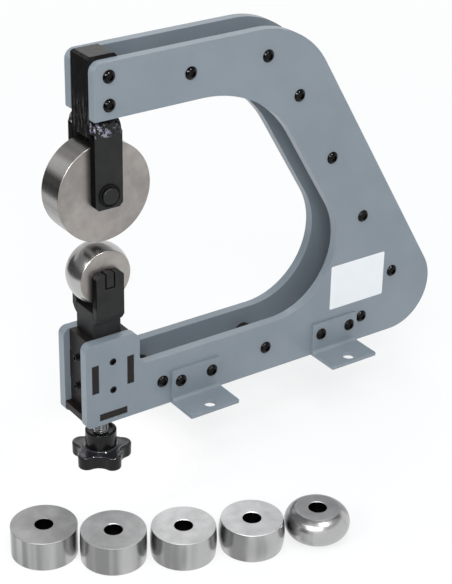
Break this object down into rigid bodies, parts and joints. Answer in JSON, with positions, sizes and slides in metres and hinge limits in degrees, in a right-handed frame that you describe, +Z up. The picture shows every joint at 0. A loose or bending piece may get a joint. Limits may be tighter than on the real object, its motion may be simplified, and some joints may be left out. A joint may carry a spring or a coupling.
{
  "type": "english wheel",
  "caption": "Bench-top english wheel: a C-shaped twin-plate frame with a plain upper wheel over a crowned anvil raised by a star knob, and spare anvils beside it.",
  "frame": {"origin": "centre of the four bench bolt holes, at the underside of the feet", "axes": "+X from the wheels to the back of the frame, +Y across the side plates away from the spare anvils, +Z up"},
  "size_m": [0.448, 0.2567, 0.3475],
  "materials": {
    "paint": "smooth grey-blue paint with softly rounded edges",
    "black_bar": "satin black",
    "weld": "glossy black over a rippled bead",
    "axle": "blackened steel",
    "black_screw": "glossy black oxide",
    "turned_steel": "fine turned steel",
    "polished_steel": "polished crown with turned sides",
    "spare_steel": "ground crown with turned sides",
    "zinc_screw": "zinc plated thread",
    "knob_plastic": "glossy black moulding"
  },
  "bodies": {
    "frame": {"near_side_plate": "paint", "far_side_plate": "paint", "head_block": "black_bar", "near_fork_arm": "black_bar", "far_fork_arm": "black_bar", "fork_welds": "weld", "upper_axle": "axle", "axle_circlips": "black_screw", "standoffs": "black_screw", "near_frame_screws": "black_screw", "far_frame_screws": "black_screw", "near_front_foot": "paint", "near_rear_foot": "paint", "far_front_foot": "paint", "far_rear_foot": "paint", "near_foot_screws": "black_screw", "far_foot_screws": "black_screw", "front_guide_plate": "black_bar", "rear_guide_plate": "black_bar", "bottom_guide_plate": "black_bar", "near_set_screws": "black_screw", "far_set_screws": "black_screw", "front_set_screws": "black_screw"},
    "upper_wheel": {"upper_wheel": "turned_steel"},
    "post": {"lift_post": "black_bar", "near_ear": "black_bar", "far_ear": "black_bar", "ear_welds": "weld", "lower_axle": "axle"},
    "anvil": {"working_anvil": "polished_steel"},
    "knob": {"lift_screw": "zinc_screw", "star_knob": "knob_plastic"},
    "spare_flat": {"spare_anvil_flat": "spare_steel"},
    "spare_2": {"spare_anvil_2": "spare_steel"},
    "spare_3": {"spare_anvil_3": "spare_steel"},
    "spare_4": {"spare_anvil_4": "spare_steel"},
    "spare_5": {"spare_anvil_5": "spare_steel"}
  },
  "joints": [
    {"name": "upper_wheel_spin", "type": "hinge", "parent": "frame", "child": "upper_wheel", "pos_m": [-0.1475, 0, 0.1955], "axis": [0, 1, 0], "continuous": true},
    {"name": "post_slide", "type": "slide", "parent": "frame", "child": "post", "axis": [0, 0, 1], "range_m": [-0.0119, 0.006]},
    {"name": "anvil_spin", "type": "hinge", "parent": "post", "child": "anvil", "pos_m": [-0.1475, 0, 0.124], "axis": [0, 1, 0], "continuous": true},
    {"name": "knob_turn", "type": "hinge", "parent": "post", "child": "knob", "pos_m": [-0.1475, 0, -0.025], "axis": [0, 0, 1], "range_deg": [-2430, 1224]},
    {"name": "spare_flat_lift", "type": "slide", "parent": "frame", "child": "spare_flat", "axis": [0, 0, 1], "range_m": [0, 0.06]},
    {"name": "spare_2_lift", "type": "slide", "parent": "frame", "child": "spare_2", "axis": [0, 0, 1], "range_m": [0, 0.06]},
    {"name": "spare_3_lift", "type": "slide", "parent": "frame", "child": "spare_3", "axis": [0, 0, 1], "range_m": [0, 0.06]},
    {"name": "spare_4_lift", "type": "slide", "parent": "frame", "child": "spare_4", "axis": [0, 0, 1], "range_m": [0, 0.06]},
    {"name": "spare_5_lift", "type": "slide", "parent": "frame", "child": "spare_5", "axis": [0, 0, 1], "range_m": [0, 0.06]}
  ],
  "couplings": [
    {"joint": "post_slide", "follows": "knob_turn", "m_per_rad": 0.00027852}
  ]
}
